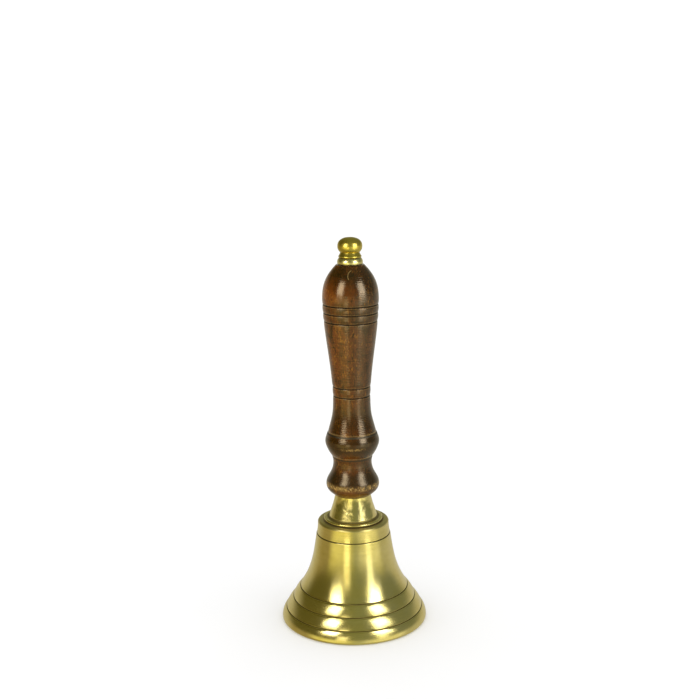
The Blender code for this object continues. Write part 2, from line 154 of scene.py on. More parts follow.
def offset(outline, distances):
    """The outline moved inwards, square to itself, by its own distance at each point."""
    moved = []
    last = len(outline) - 1
    for i, (radius, height, _) in enumerate(outline):
        before = Vector(outline[max(i - 1, 0)][:2])
        after = Vector(outline[min(i + 1, last)][:2])
        along = (after - before).normalized()
        moved.append((radius - along.y * distances[i], height + along.x * distances[i], 0.0))
    return moved


SCORE_STEPS = 8
AROUND = 240


def turned(name, outline, closed=True, inside_from=None):
    """A mesh object swept by the outline round the Z axis, with its marks in the attribute 'mark'.

    Faces from outline point inside_from on get the second material slot.
    """
    verts = []
    marks = []
    rings = []
    for radius, height, mark in outline:
        if radius < 1e-7:
            rings.append([len(verts)] * AROUND)
            verts.append((0.0, 0.0, height))
            marks.append(mark)
            continue
        rings.append(list(range(len(verts), len(verts) + AROUND)))
        for k in range(AROUND):
            angle = math.tau * k / AROUND
            verts.append((radius * math.cos(angle), radius * math.sin(angle), height))
            marks.append(mark)
    count = len(rings)
    faces = []
    inner = []
    for i in range(count if closed else count - 1):
        lower, upper = rings[i], rings[(i + 1) % count]
        for k in range(AROUND):
            j = (k + 1) % AROUND
            corners = [lower[k], lower[j], upper[j], upper[k]]
            faces.append([c for n, c in enumerate(corners) if c not in corners[:n]])
            inner.append(inside_from is not None and i >= inside_from)
    mesh = bpy.data.meshes.new(name)
    mesh.from_pydata(verts, [], faces)
    mesh.attributes.new("mark", "FLOAT", "POINT").data.foreach_set("value", marks)
    for polygon, is_inner in zip(mesh.polygons, inner):
        polygon.material_index = int(is_inner)
    bm = bmesh.new()
    bm.from_mesh(mesh)
    bmesh.ops.recalc_face_normals(bm, faces=bm.faces)
    bm.to_mesh(mesh)
    bm.free()
    mesh.shade_smooth()
    mesh.set_sharp_from_angle(angle=math.radians(40))
    obj = bpy.data.objects.new(name, mesh)
    bpy.context.scene.collection.objects.link(obj)
    return obj


def wire_loop(name, across, end_radius, straight_length, wire, top):
    """A closed loop of round wire in the plane of Z and the axis across, its upper end centred on top."""
    side = Vector((0, 0, 1)).cross(across)
    verts = []
    for i in range(LOOP_STEPS):
        angle = math.tau * (i + 0.5) / LOOP_STEPS
        outwards = across * math.cos(angle) + Vector((0, 0, math.sin(angle)))
        centre = Vector((0, 0, top if math.sin(angle) > 0 else top - straight_length))
        for k in range(WIRE_SIDES):
            turn = math.tau * k / WIRE_SIDES
            section = outwards * math.cos(turn) + side * math.sin(turn)
            verts.append(centre + outwards * end_radius + section * wire)
    faces = []
    for i in range(LOOP_STEPS):
        ring = i * WIRE_SIDES
        following = (i + 1) % LOOP_STEPS * WIRE_SIDES
        for k in range(WIRE_SIDES):
            j = (k + 1) % WIRE_SIDES
            faces.append((ring + k, ring + j, following + j, following + k))
    mesh = bpy.data.meshes.new(name)
    mesh.from_pydata(verts, [], faces)
    mesh.shade_smooth()
    obj = bpy.data.objects.new(name, mesh)
    bpy.context.scene.collection.objects.link(obj)
    return obj


LOOP_STEPS = 96
WIRE_SIDES = 32


# Sizes read from the CAD boxes

def top_of(node):
    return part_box(node)[1].z


def bottom_of(node):
    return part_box(node)[0].z


def radius_of(node):
    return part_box(node)[1].x


# Bell

RIM_ROUND = 1.5 * MM
RIM_FLAT_IN = 0.9 * MM
RIM_WALL = 4.4 * MM
BELL_WALL = 3.0 * MM
LIP_RISE = 7.8 * MM
LIP_IN = 2.8 * MM
BAND_COUNT = 2
BAND_RISE = 7.0 * MM
BAND_IN = 4.65 * MM
LIP_SWELL = 0.6 * MM
BAND_SWELL = 0.42 * MM
FLARE_RISE = 36.0 * MM
WAIST_RADIUS = 24.0 * MM
FLARE_LEAD = (0.72, 0.32)
FLARE_TRAIL = (0.18, 0.37)
TOP_BAND_STEP = 0.3 * MM
TOP_BAND_HOLLOW = 0.15 * MM
SHOULDER_IN = 1.0 * MM
SHOULDER_ROUND = 1.5 * MM
CROWN_THICKNESS = 3.4 * MM
BELL_SCORE_WIDTH = 0.8 * MM
BELL_SCORE_DEPTH = 0.4 * MM
CORNER_EASE = 0.6
# Reach of the painted shade on the crown round the neck's flange.
CROWN_SHADE_REACH = 0.8 * MM
# Strength of the painted shade over the bell's shoulder.
SHOULDER_SHADE = 0.3
ROD_BORE = 2.8 * MM


def make_bell():
    rim = radius_of("bell")
    top = top_of("bell")
    lines = [(rim - LIP_IN - BAND_IN * i, LIP_RISE + BAND_RISE * i, 0.0) for i in range(BAND_COUNT + 1)]
    widest = (rim, RIM_ROUND, 0.0)
    waist = (WAIST_RADIUS, lines[-1][1] + FLARE_RISE, 0.0)
    edge = curve((rim - RIM_FLAT_IN, 0), (CORNER_EASE, 0), (0, CORNER_EASE), widest, 10)
    bands = [swell(widest, lines[0], LIP_SWELL, 16)]
    for lower, upper in zip(lines, lines[1:]):
        bands.append(swell(lower, upper, BAND_SWELL, 16))
    flare = curve(lines[-1], FLARE_LEAD, FLARE_TRAIL, waist, 48)
    corner = (WAIST_RADIUS - SHOULDER_IN - SHOULDER_ROUND, top - SHOULDER_ROUND)
    rounded = arc(corner, SHOULDER_ROUND, 0, 90, 10)
    # Painted shade over the shoulder's rounding and top, dimming its highlight.
    shoulder = [(r, z, min(0.15 * i, SHOULDER_SHADE)) for i, (r, z, _) in enumerate(rounded)]
    band_foot = (WAIST_RADIUS - TOP_BAND_STEP, waist[1] + TOP_BAND_STEP)
    top_band = swell(band_foot, shoulder[0], -TOP_BAND_HOLLOW, 12)
    outside = scored(join(edge, *bands, flare, top_band, shoulder), [p[1] for p in lines] + [waist[1]],
                     BELL_SCORE_WIDTH, BELL_SCORE_DEPTH)
    ceiling = top - CROWN_THICKNESS
    wall_guide = join([widest], lines, curve(lines[-1], FLARE_LEAD, FLARE_TRAIL, waist, 30),
                      [(WAIST_RADIUS - SHOULDER_IN, ceiling - BELL_WALL, 0.0)])
    walls = []
    for _, height, _ in wall_guide:
        share = min(max((height - LIP_RISE) / (lines[-1][1] - LIP_RISE), 0), 1)
        walls.append(RIM_WALL + (BELL_WALL - RIM_WALL) * share)
    wall = [p for p in offset(wall_guide, walls) if p[1] > RIM_ROUND]
    turn = curve(wall[-1], (0, CORNER_EASE), (CORNER_EASE, 0), (wall[-1][0] - BELL_WALL, ceiling), 8)
    rising = join([(rim - RIM_WALL, 0.0, 0.0)], wall, turn, [(ROD_BORE, ceiling, 0.0)])
    flange = radius_of("neck_socket")
    # A dark ring on the crown round the foot of the neck's flange: painted shade between the parts.
    crown = [(flange + CROWN_SHADE_REACH, top, 0.35), (flange, top, 1.0)]
    crown += [(flange - CROWN_SHADE_REACH, top, 0.9), (ROD_BORE, top, 0.9)]
    outline = join(outside, crown, list(reversed(rising)))
    return turned("bell_shell", outline, inside_from=len(outside))


# Neck socket

# Height of the painted shade along the flange's lower edge.
FLANGE_EDGE_SHADE = 0.3 * MM
FLANGE_THICKNESS = 1.6 * MM
FLANGE_ROUND = 0.7 * MM
NECK_FOOT_RADIUS = 15.5 * MM
NECK_FILLET = 0.9 * MM
NECK_TOP_RADIUS = 11.5 * MM
NECK_LEAD = (0.38, 0.32)
NECK_TRAIL = (0.12, 0.28)
TENON_BORE = 8.6 * MM
TENON_DEPTH = 11.0 * MM


def make_neck():
    bottom = bottom_of("neck_socket")
    top = top_of("neck_socket")
    flange = radius_of("neck_socket")
    flange_top = bottom + FLANGE_THICKNESS
    rounded = arc((flange - FLANGE_ROUND, flange_top - FLANGE_ROUND), FLANGE_ROUND, 0, 90, 8)
    foot = (NECK_FOOT_RADIUS, flange_top + NECK_FILLET)
    fillet = curve((NECK_FOOT_RADIUS + NECK_FILLET, flange_top), (CORNER_EASE, 0), (0, CORNER_EASE), foot, 8)
    cone = curve(foot, NECK_LEAD, NECK_TRAIL, (NECK_TOP_RADIUS, top), 32)
    inside = [
        (TENON_BORE, top, 0.0), (TENON_BORE, top - TENON_DEPTH, 0.0),
        (ROD_BORE, top - TENON_DEPTH, 0.0), (ROD_BORE, bottom, 0.0),
    ]
    # Painted shade in the crease along the flange's lower edge and in the fillet at the neck's foot.
    edge = [(r, z, 1.0) for r, z, _ in straight((flange, bottom), (flange, bottom + FLANGE_EDGE_SHADE), 2)]
    shaded_fillet = [(r, z, 0.55) for r, z, _ in fillet]
    return turned("neck_ferrule", join(edge, rounded, shaded_fillet, cone, inside))


# Handle: lower features by height above its foot, upper ones by drop below its top

TENON_RADIUS = 8.3 * MM
TENON_LENGTH = 11.0 * MM
FOOT_RADIUS = 11.9 * MM
BULB_RADIUS = 17.05 * MM
BULB_HEIGHT = 7.3 * MM
BULB_LEAD = (0.70, 0.36)
BULB_TRAIL = (0, 0.40)
COVE_RADIUS = 12.35 * MM
COVE_HEIGHT = 21.8 * MM
COVE_LEAD = (0, 0.34)
COVE_TRAIL = (0, 0.52)
ARRIS_RADIUS = 13.2 * MM
ARRIS_HEIGHT = 26.4 * MM
ARRIS_LEAD = (0, 0.40)
BEAD_RADIUS = 17.3 * MM
BEAD_HEIGHT = 35.6 * MM
BEAD_LEAD = (0.44, 0.22)
BEAD_TRAIL = (0, 0.28)
BEAD_TOP_RADIUS = 15.9 * MM
BEAD_TOP_HEIGHT = 41.0 * MM
BEAD_TOP_LEAD = (0, 0.33)
BEAD_TOP_TRAIL = (0.64, 0.48)
BEAD_STEP = 0.4 * MM
WAIST_WOOD_RADIUS = 11.95 * MM
WAIST_WOOD_HEIGHT = 63.0 * MM
WAIST_WOOD_LEAD = (0.73, 0.46)
WAIST_WOOD_TRAIL = (0, 0.47)
GRIP_DROP = 22.0 * MM
GRIP_LEAD = (0, 0.32)
GRIP_TRAIL = (0, 0.30)
DOME_LEAD = (0, 0.40)
DOME_TRAIL = (0.81, 0.34)
DOME_TOP_RADIUS = 8.9 * MM
LOWER_SCORE_HEIGHTS = (65.6 * MM, 71.6 * MM)
UPPER_SCORE_DROPS = (35.4 * MM, 30.0 * MM, 24.7 * MM)
WOOD_SCORE_WIDTH = 1.0 * MM
WOOD_SCORE_DEPTH = 0.45 * MM
RIB_EASING = 2.6 * MM
RIB_EASE = 0.22 * MM


def make_handle():
    tenon_end = bottom_of("handle")
    foot_height = tenon_end + TENON_LENGTH
    top_height = top_of("handle")
    foot = (FOOT_RADIUS, foot_height, 0.0)
    bulb = (BULB_RADIUS, foot_height + BULB_HEIGHT, 0.0)
    cove = (COVE_RADIUS, foot_height + COVE_HEIGHT, 0.0)
    arris = (ARRIS_RADIUS, foot_height + ARRIS_HEIGHT, 0.0)
    bead = (BEAD_RADIUS, foot_height + BEAD_HEIGHT, 0.0)
    bead_top = (BEAD_TOP_RADIUS, foot_height + BEAD_TOP_HEIGHT, 0.0)
    step = (BEAD_TOP_RADIUS - BEAD_STEP, bead_top[1] + BEAD_STEP, 0.0)
    waist = (WAIST_WOOD_RADIUS, foot_height + WAIST_WOOD_HEIGHT, 0.0)
    grip = (radius_of("handle"), top_height - GRIP_DROP, 0.0)
    top = (DOME_TOP_RADIUS, top_height, 0.0)
    plain = join(
        curve(foot, BULB_LEAD, BULB_TRAIL, bulb, 24),
        curve(bulb, COVE_LEAD, COVE_TRAIL, cove, 32),
        curve(cove, ARRIS_LEAD, (0, 0), arris, 14),
        curve(arris, BEAD_LEAD, BEAD_TRAIL, bead, 40),
        curve(bead, BEAD_TOP_LEAD, BEAD_TOP_TRAIL, bead_top, 24),
        curve(step, WAIST_WOOD_LEAD, WAIST_WOOD_TRAIL, waist, 60),
        curve(waist, GRIP_LEAD, GRIP_TRAIL, grip, 90),
        curve(grip, DOME_LEAD, DOME_TRAIL, top, 48),
    )
    lines = [foot_height + height for height in LOWER_SCORE_HEIGHTS]
    lines += [top_height - drop for drop in UPPER_SCORE_DROPS]
    outside = scored(plain, lines, WOOD_SCORE_WIDTH, WOOD_SCORE_DEPTH, RIB_EASING, RIB_EASE)
    # Pale worn edges at the arris and above the bead's step; painted shade just under the arris and at the
    # step.
    outside = marked(outside, arris[1], 0.5 * MM, -0.8)
    outside = marked(outside, arris[1] - 1.2 * MM, 0.6 * MM, 0.5)
    outside = marked(outside, bead_top[1], 0.5 * MM, 0.9)
    outside = marked(outside, step[1] + 0.7 * MM, 0.6 * MM, -0.9)
    inside = [
        (ROD_BORE, top_height, 0.0), (ROD_BORE, tenon_end, 0.0),
        (TENON_RADIUS, tenon_end, 0.0), (TENON_RADIUS, foot_height, 0.0),
    ]
    return turned("handle_turning", join(outside, inside))


# Finial

COLLAR_RADIUS = 7.8 * MM
COLLAR_SWELL = 0.55 * MM
COLLAR_TOP_RADIUS = 7.1 * MM
FINIAL_BEAD_RADIUS = 6.8 * MM
FINIAL_BEAD_RISE = 1.5 * MM
FINIAL_BEAD_SWELL = 0.45 * MM
FINIAL_NECK_RADIUS = 6.0 * MM
FINIAL_BALL_HALF_HEIGHT = 5.5 * MM
FINIAL_SQUARENESS = 2.3
FINIAL_BORE_DEPTH = 8.4 * MM


def make_finial_collar():
    bottom = bottom_of("finial_collar")
    top = top_of("finial_collar")
    side = swell((COLLAR_RADIUS, bottom), (COLLAR_TOP_RADIUS, top), COLLAR_SWELL, 20)
    return turned("finial_ring", join(side, [(ROD_BORE, top, 0.0), (ROD_BORE, bottom, 0.0)]))


def make_finial_ball():
    bottom = bottom_of("finial_ball")
    top = top_of("finial_ball")
    widest = radius_of("finial_ball")
    bead_top = bottom + FINIAL_BEAD_RISE
    bead = swell((FINIAL_BEAD_RADIUS, bottom), (FINIAL_BEAD_RADIUS, bead_top), FINIAL_BEAD_SWELL, 12)
    centre = top - FINIAL_BALL_HALF_HEIGHT
    power = 2 / FINIAL_SQUARENESS
    start = -math.acos((FINIAL_NECK_RADIUS / widest) ** (1 / power))
    ball = []
    steps = 48
    for i in range(steps):
        angle = start + (math.pi / 2 - start) * i / steps
        rise = math.copysign(abs(math.sin(angle)) ** power, angle) * FINIAL_BALL_HALF_HEIGHT
        ball.append((widest * math.cos(angle) ** power, centre + rise, 0.0))
    bore_end = bottom + FINIAL_BORE_DEPTH
    inside = [(0.0, bore_end, 0.0), (ROD_BORE, bore_end, 0.0), (ROD_BORE, bottom, 0.0)]
    return turned("finial_nut", join(inside, bead, ball, [(0.0, top, 0.0)]), closed=False)


# Tie rod and clapper

ROD_RADIUS = 2.5 * MM
EYE_RADIUS = 3.6 * MM
EYE_WIRE = 1.3 * MM
LINK_WIRE = 1.1 * MM
LINK_END_RADIUS = 2.7 * MM
STEM_EYE_WIRE = 1.3 * MM
STEM_EYE_RADIUS = 2.7 * MM
STEM_EYE_STRAIGHT = 2.0 * MM
STEM_RADIUS = 2.0 * MM
SPIGOT_RADIUS = 1.5 * MM
CLAPPER_SEAT_RADIUS = 3.2 * MM
SEAT_GAP = 0.3 * MM
ROUNDED_END = 0.4 * MM


def joint_height(name):
    return next(joint["pos_m"][2] for joint in frame["joints"] if joint["name"] == name)


def make_tie_rod():
    link_axis = joint_height("link_swing")
    eye_centre = link_axis + EYE_RADIUS
    eye_top = eye_centre + EYE_RADIUS
    top = top_of("tie_rod")
    shank = join(
        straight((0.0, eye_top), (ROD_RADIUS, eye_top), 1),
        straight((ROD_RADIUS, eye_top), (ROD_RADIUS, top), 8),
        [(0.0, top, 0.0)],
    )
    rod = turned("rod_shank", shank, closed=False)
    eye = wire_loop("rod_eye", Vector((1, 0, 0)), EYE_RADIUS, 0, EYE_WIRE, eye_centre)
    return rod, eye


def make_link():
    link_axis = joint_height("link_swing")
    straight_length = link_axis - joint_height("clapper_swing") - LINK_END_RADIUS
    return wire_loop("link_loop", Vector((0, 1, 0)), LINK_END_RADIUS, straight_length, LINK_WIRE, link_axis)


def make_stem():
    axis = joint_height("clapper_swing")
    eye_bottom = axis - STEM_EYE_STRAIGHT - STEM_EYE_RADIUS
    shoulder = top_of("clapper_ball") + SEAT_GAP
    tip = bottom_of("clapper_stem")
    end_edge = (SPIGOT_RADIUS, tip + ROUNDED_END)
    end_face = (SPIGOT_RADIUS - ROUNDED_END, tip)
    shank = join(
        straight((0.0, eye_bottom), (STEM_RADIUS, eye_bottom), 1),
        straight((STEM_RADIUS, eye_bottom), (STEM_RADIUS, shoulder), 6),
        straight((SPIGOT_RADIUS, shoulder), end_edge, 6),
        curve(end_edge, (0, CORNER_EASE), (CORNER_EASE, 0), end_face, 5),
        [(0.0, tip, 0.0)],
    )
    stem = turned("stem_shank", shank, closed=False)
    eye = wire_loop("stem_eye", Vector((1, 0, 0)), STEM_EYE_RADIUS, STEM_EYE_STRAIGHT, STEM_EYE_WIRE, axis)
    return stem, eye


def make_clapper_ball():
    low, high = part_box("clapper_ball")
    centre = (low.z + high.z) / 2
    radius = high.x
    seat = math.degrees(math.acos(CLAPPER_SEAT_RADIUS / radius))
    bore = SPIGOT_RADIUS + SEAT_GAP
    surface = arc((0.0, centre), radius, -seat, seat, 48)
    return turned("striker", join(surface, [(bore, high.z, 0.0), (bore, low.z, 0.0)]))


# Materials

class Look:
    """A Principled material with short calls for adding and wiring nodes."""

    def __init__(self, name, **values):
        self.material = bpy.data.materials.new(name)
        self.material.use_nodes = True
        self.tree = self.material.node_tree
        self.shader = self.tree.nodes["Principled BSDF"]
        for key, value in values.items():
            self.shader.inputs[key.replace("_", " ")].default_value = value

    def add(self, kind, inputs=None, **settings):
        """A new node. settings are its properties, and inputs its sockets' values or links."""
        node = self.tree.nodes.new("ShaderNode" + kind)
        for key, value in settings.items():
            setattr(node, key, value)
        for key, value in (inputs or {}).items():
            self.put(node.inputs[key], value)
        return node

    def put(self, socket, value):
        if isinstance(value, bpy.types.NodeSocket):
            self.tree.links.new(value, socket)
        else:
            socket.default_value = value

    def math(self, operation, a, b=0.0, clamp=False):
        return self.add("Math", {0: a, 1: b}, operation=operation, use_clamp=clamp).outputs[0]

    def times(self, a, b):
        return self.math("MULTIPLY", a, b)

    def away(self, value, target):
        """How far a value is from a target, either way."""
        return self.math("ABSOLUTE", self.math("SUBTRACT", value, target))

    def mix(self, share, a, b):
        node = self.add("Mix", data_type="RGBA")
        self.put(node.inputs["Factor"], share)
        self.put(node.inputs[6], a)
        self.put(node.inputs[7], b)
        return node.outputs[2]

    def ramp(self, value, low, high, low_out=0.0, high_out=1.0):
        ends = {"Value": value, "From Min": low, "From Max": high, "To Min": low_out, "To Max": high_out}
        return self.add("MapRange", ends, interpolation_type="SMOOTHSTEP").outputs[0]

    def noise(self, vector, scale, detail=2.0, roughness=0.5, distortion=0.0):
        kind = {"Vector": vector, "Scale": scale, "Detail": detail, "Roughness": roughness}
        return self.add("TexNoise", {**kind, "Distortion": distortion}).outputs["Fac"]

    def place(self):
        return self.add("TexCoord").outputs["Object"]

    def stretch(self, vector, factors):
        return self.add("VectorMath", {0: vector, 1: factors}, operation="MULTIPLY").outputs[0]

    def lathe_place(self, around, along):
        """Coordinates that run round the turning axis slowly and along its outline fast."""
        x, y, z = self.add("SeparateXYZ", {0: self.place()}).outputs
        flat = self.add("CombineXYZ", {0: x, 1: y}).outputs[0]
        radius = self.add("VectorMath", {0: flat}, operation="LENGTH").outputs["Value"]
        unit = self.add("VectorMath", {0: flat}, operation="NORMALIZE").outputs[0]
        turn = self.stretch(unit, (around, around, 0.0))
        outline = self.times(self.math("SUBTRACT", z, radius), along)
        rise = self.add("CombineXYZ", {2: outline}).outputs[0]
        return self.add("VectorMath", {0: turn, 1: rise}, operation="ADD").outputs[0]

    def mark(self):
        return self.add("Attribute", attribute_name="mark").outputs["Fac"]

    def bump(self, height, distance, after=None):
        node = self.add("Bump", {"Height": height, "Distance": distance, "Strength": 1.0})
        if after is not None:
            self.put(node.inputs["Normal"], after)
        return node.outputs["Normal"]


def linear(red, green, blue):
    """A colour given as 0 to 255 in sRGB, as the shader's linear values."""
    values = []
    for channel in (red, green, blue):
        c = channel / 255
        values.append(c / 12.92 if c <= 0.04045 else ((c + 0.055) / 1.055) ** 2.4)
    return (*values, 1.0)


def brass(name, bright, warm, roughness, scratch, anisotropy=0.0, lumps=0.0):
    """Turned brass: rings from the lathe, soft patches of wear, dirt in the scored lines, and painted shade
    where the marks lie in creases and on the bell's shoulder.
    """
    look = Look(name, Metallic=1.0, Anisotropic=anisotropy, Anisotropic_Rotation=0.25)
    if anisotropy:
        tangent = look.add("Tangent", direction_type="RADIAL", axis="Z").outputs[0]
        look.put(look.shader.inputs["Tangent"], tangent)
    rings = look.noise(look.lathe_place(2.5, 5200.0), 1.0, detail=3.0, roughness=0.65)
    patches = look.noise(look.place(), 55.0, detail=4.0, roughness=0.6)
    look.put(look.shader.inputs["Base Color"], brass_colour(look, bright, warm, rings, patches))
    look.put(look.shader.inputs["Roughness"], brass_roughness(look, roughness, rings, patches))
    look.put(look.shader.inputs["Normal"], brass_relief(look, scratch, lumps, rings))
    return look.material


def brass_colour(look, bright, warm, rings, patches):
    spots = look.noise(look.place(), 900.0, detail=2.0)
    colour = look.mix(look.ramp(patches, 0.35, 0.7), bright, warm)
    colour = look.mix(look.ramp(rings, 0.2, 0.8, 0.0, 0.22), colour, TARNISHED_BRASS)
    colour = look.mix(look.times(look.ramp(spots, 0.62, 0.78), 0.25), colour, TARNISHED_BRASS)
    # Marks darken the scored lines with dirt and paint shade into the creases round the neck's flange and
    # over the bell's shoulder.
    return look.mix(look.ramp(look.mark(), 0.1, 0.7, 0.0, 0.95), colour, GROOVE_DIRT_AND_SHADE)


def brass_roughness(look, roughness, rings, patches):
    """Worn patches are glossier, and the marked lines, creases and shoulder are dull."""
    worn = look.ramp(patches, 0.3, 0.75, roughness * 0.85, roughness * 1.25)
    ringed = look.times(look.math("SUBTRACT", rings, 0.5), 0.10)
    dulled = look.times(look.mark(), 0.6)
    return look.math("ADD", look.math("ADD", worn, ringed), dulled, clamp=True)


def brass_relief(look, scratch, lumps, rings):
    """The height of the lathe's scratches and, on hammered brass, of its shallow lumps."""
    fine_rings = look.noise(look.lathe_place(9.0, 14000.0), 1.0, detail=2.0, roughness=0.6)
    normal = look.bump(fine_rings, scratch * 0.4, after=look.bump(rings, scratch))
    if lumps:
        place = look.stretch(look.place(), (1.0, 1.0, 0.8))
        dents = look.noise(place, 210.0, detail=1.5, roughness=0.45, distortion=0.3)
        normal = look.bump(dents, lumps, after=normal)
    return normal


def cast_brass(name):
    """The rough casting inside the bell: grainy, stained and dull."""
    look = Look(name, Metallic=1.0)
    place = look.place()
    stains = look.noise(place, 40.0, detail=5.0, roughness=0.65)
    grain = look.noise(place, 1500.0, detail=3.0, roughness=0.7)
    rings = look.noise(look.lathe_place(3.0, 1400.0), 1.0, detail=3.0)
    colour = look.mix(look.ramp(stains, 0.3, 0.7), CAST_BRASS, CAST_STAIN)
    colour = look.mix(look.ramp(grain, 0.5, 0.8, 0.0, 0.4), colour, CAST_STAIN)
    look.put(look.shader.inputs["Base Color"], colour)
    look.put(look.shader.inputs["Roughness"], look.ramp(stains, 0.25, 0.75, 0.42, 0.62))
    normal = look.bump(grain, 0.00006)
    look.put(look.shader.inputs["Normal"], look.bump(rings, 0.00005, after=normal))
    return look.material


def steel(name):
    """Plain drawn steel: grey, a little brown with age, with fine draw marks."""
    look = Look(name, Metallic=1.0)
    place = look.place()
    age = look.noise(place, 130.0, detail=4.0, roughness=0.6)
    pits = look.noise(place, 2600.0, detail=2.0, roughness=0.6)
    colour = look.mix(look.ramp(age, 0.45, 0.75), (0.42, 0.42, 0.43, 1), (0.22, 0.15, 0.10, 1))
    look.put(look.shader.inputs["Base Color"], colour)
    look.put(look.shader.inputs["Roughness"], look.ramp(age, 0.3, 0.75, 0.28, 0.55))
    look.put(look.shader.inputs["Normal"], look.bump(pits, 0.00003))
    return look.material


class Wood(Look):
    """Turned hardwood, stained dark and varnished. Its colour, gloss and relief share the same patterns.

    foot and top are the heights of the ends of its visible part.
    """

    def __init__(self, name, foot, top):
        super().__init__(name, Specular_IOR_Level=0.9, Specular_Tint=VARNISH)
        self.foot = foot
        self.top = top
        self.x, self.y, self.z = self.add("SeparateXYZ", {0: self.place()}).outputs
        self.off_centre = self.math("ABSOLUTE", self.x)
        self.fibres = self.figure(1700.0, 0.09, detail=3.0, roughness=0.6)
        self.pores = self.figure(1500.0, 0.25, detail=1.0)
        self.flecks = self.figure(900.0, 0.4, detail=3.0, roughness=0.7)
        self.mottle = self.figure(520.0, 0.55, detail=4.0, roughness=0.75, distortion=0.8)
        self.blotches = self.figure(90.0, 0.6, detail=3.0, roughness=0.6, distortion=0.5)
        self.chips = self.figure(1500.0, 1.8, detail=3.0, roughness=0.75)
        self.rings = self.noise(self.lathe_place(1.2, 1500.0), 1.0, detail=3.0, roughness=0.6)

    def figure(self, scale, squeeze, **kind):
        """Noise drawn out along the grain, which runs up the handle. A low squeeze makes it longer."""
        return self.noise(self.stretch(self.place(), (1.0, 1.0, squeeze)), scale, **kind)

    def stain(self):
        """The brown of the wood, redder where the stain runs thinner, warmer on the left side in a painted
        warm light, and paler where a hand has held it.
        """
        thin_stain_and_light = self.ramp(self.blotches, 0.35, 0.6, 0.1, 1.0)
        # Thin stain shows most on the left side: partly the wood's stain, partly a painted warm light from
        # the left.
        thin_stain_and_light = self.times(self.ramp(self.x, WOOD_HALF, -WOOD_HALF), thin_stain_and_light)
        above = self.ramp(self.z, self.foot + GRIP_FOOT[0], self.foot + GRIP_FOOT[1])
        below = self.ramp(self.z, self.top - GRIP_TOP[0], self.top - GRIP_TOP[1])
        held = self.times(self.times(above, below), self.ramp(self.blotches, 0.3, 0.6, 0.2, 0.7))
        colour = self.mix(self.ramp(self.mottle, 0.38, 0.62), BLACK_STAIN_AND_SHADE, BROWN_STAIN)
        colour = self.mix(held, colour, WORN_BROWN)
        colour = self.mix(self.times(thin_stain_and_light, 0.6), colour, AMBER_STAIN_AND_LIGHT)
        return self.mix(self.ramp(self.blotches, 0.46, 0.30, 0.0, 0.65), colour, DARK_STAIN_AND_SHADE)

    def grain(self, colour):
        """Gold flecks, dark fibres and the rings that the lathe's tool left."""
        patchy = self.ramp(self.blotches, 0.40, 0.62, 0.15, 0.6)
        colour = self.mix(self.times(self.ramp(self.flecks, 0.52, 0.66), patchy), colour, GOLD_FLECK)
        colour = self.mix(self.ramp(self.fibres, 0.48, 0.74, 0.0, 0.6), colour, DARK_STAIN_AND_SHADE)
        return self.mix(self.ramp(self.rings, 0.52, 0.70, 0.0, 0.65), colour, BLACK_STAIN_AND_SHADE)

    def uneven(self, colour):
        """Painted light and shade: warm light down the middle of the lower part and on the middle and left
        of the dome, shade to the right, to both sides of the lower part and in bands, and paler light on the
        bulb's underside toward the foot.
        """
        lower = self.ramp(self.z, self.foot + 75 * MM, self.foot + 55 * MM)
        # Painted warm light down the middle of the lower part.
        painted_glow = self.times(self.ramp(self.off_centre, 8 * MM, 2 * MM), lower)
        colour = self.mix(self.times(painted_glow, 0.35), colour, AMBER_STAIN_AND_LIGHT)
        # Painted warm light on the middle and left of the dome.
        above = self.ramp(self.z, self.top - 26 * MM, self.top - 18 * MM)
        below = self.ramp(self.z, self.top - 5 * MM, self.top - 11 * MM)
        dome = self.times(self.times(above, below), self.ramp(self.x, 6 * MM, 1 * MM))
        colour = self.mix(self.times(dome, 0.4), colour, AMBER_STAIN_AND_LIGHT)
        # Painted shade to the right side, and to both sides of the lower part.
        shaded_right = self.ramp(self.x, -4 * MM, 11 * MM, 0.0, 0.38)
        shaded_sides = self.times(self.ramp(self.off_centre, 4 * MM, 13 * MM, 0.0, 0.3), lower)
        colour = self.mix(self.math("MAXIMUM", shaded_right, shaded_sides), colour, DARK_STAIN_AND_SHADE)
        # Bands of painted shade at listed heights, as on the cove.
        for height, half, strength in PAINTED_SHADE_BANDS:
            away = self.away(self.z, self.foot + height)
            colour = self.mix(self.ramp(away, half, half * 0.3, 0.0, strength), colour, DARK_STAIN_AND_SHADE)
        # Painted light from below, paler amber on the bulb's underside toward the foot.
        foot_light = self.ramp(self.z, self.foot + BULB_WEAR_AND_SHEEN, self.foot, 0.0, 0.6)
        return self.mix(foot_light, colour, FOOT_PAINTED_LIGHT)

    def chipped_and_lit(self, colour):
        """Rings of bare wood, broken up, where the handle is widest; on the bulb the ring is also a painted
        sheen along the crest.
        """
        for height, half, strength, reach in WORN_AND_SHEEN_RINGS:
            away = self.away(self.z, self.foot + height)
            spots = self.ramp(self.chips, 0.48, 0.60, 0.05, strength)
            broken = self.times(spots, self.ramp(self.mottle, 0.42, 0.56, 0.15, 1.0))
            broken = self.times(broken, self.ramp(self.off_centre, reach, reach * 0.4))
            colour = self.mix(self.times(self.ramp(away, half, half * 0.1), broken), colour, WORN_GOLD_AND_SHEEN)
        return colour

    def edged(self, colour):
        """Dark pores, pale worn edges beside the scored lines, dirt in the lines, and painted shade under
        the arris and at the bead's step.
        """
        colour = self.mix(self.ramp(self.pores, 0.62, 0.72, 0.0, 0.8), colour, BLACK_STAIN_AND_SHADE)
        worn = self.times(self.ramp(self.mark(), -0.2, -0.9), self.ramp(self.chips, 0.40, 0.62, 0.1, 0.7))
        colour = self.mix(worn, colour, WORN_EDGE)
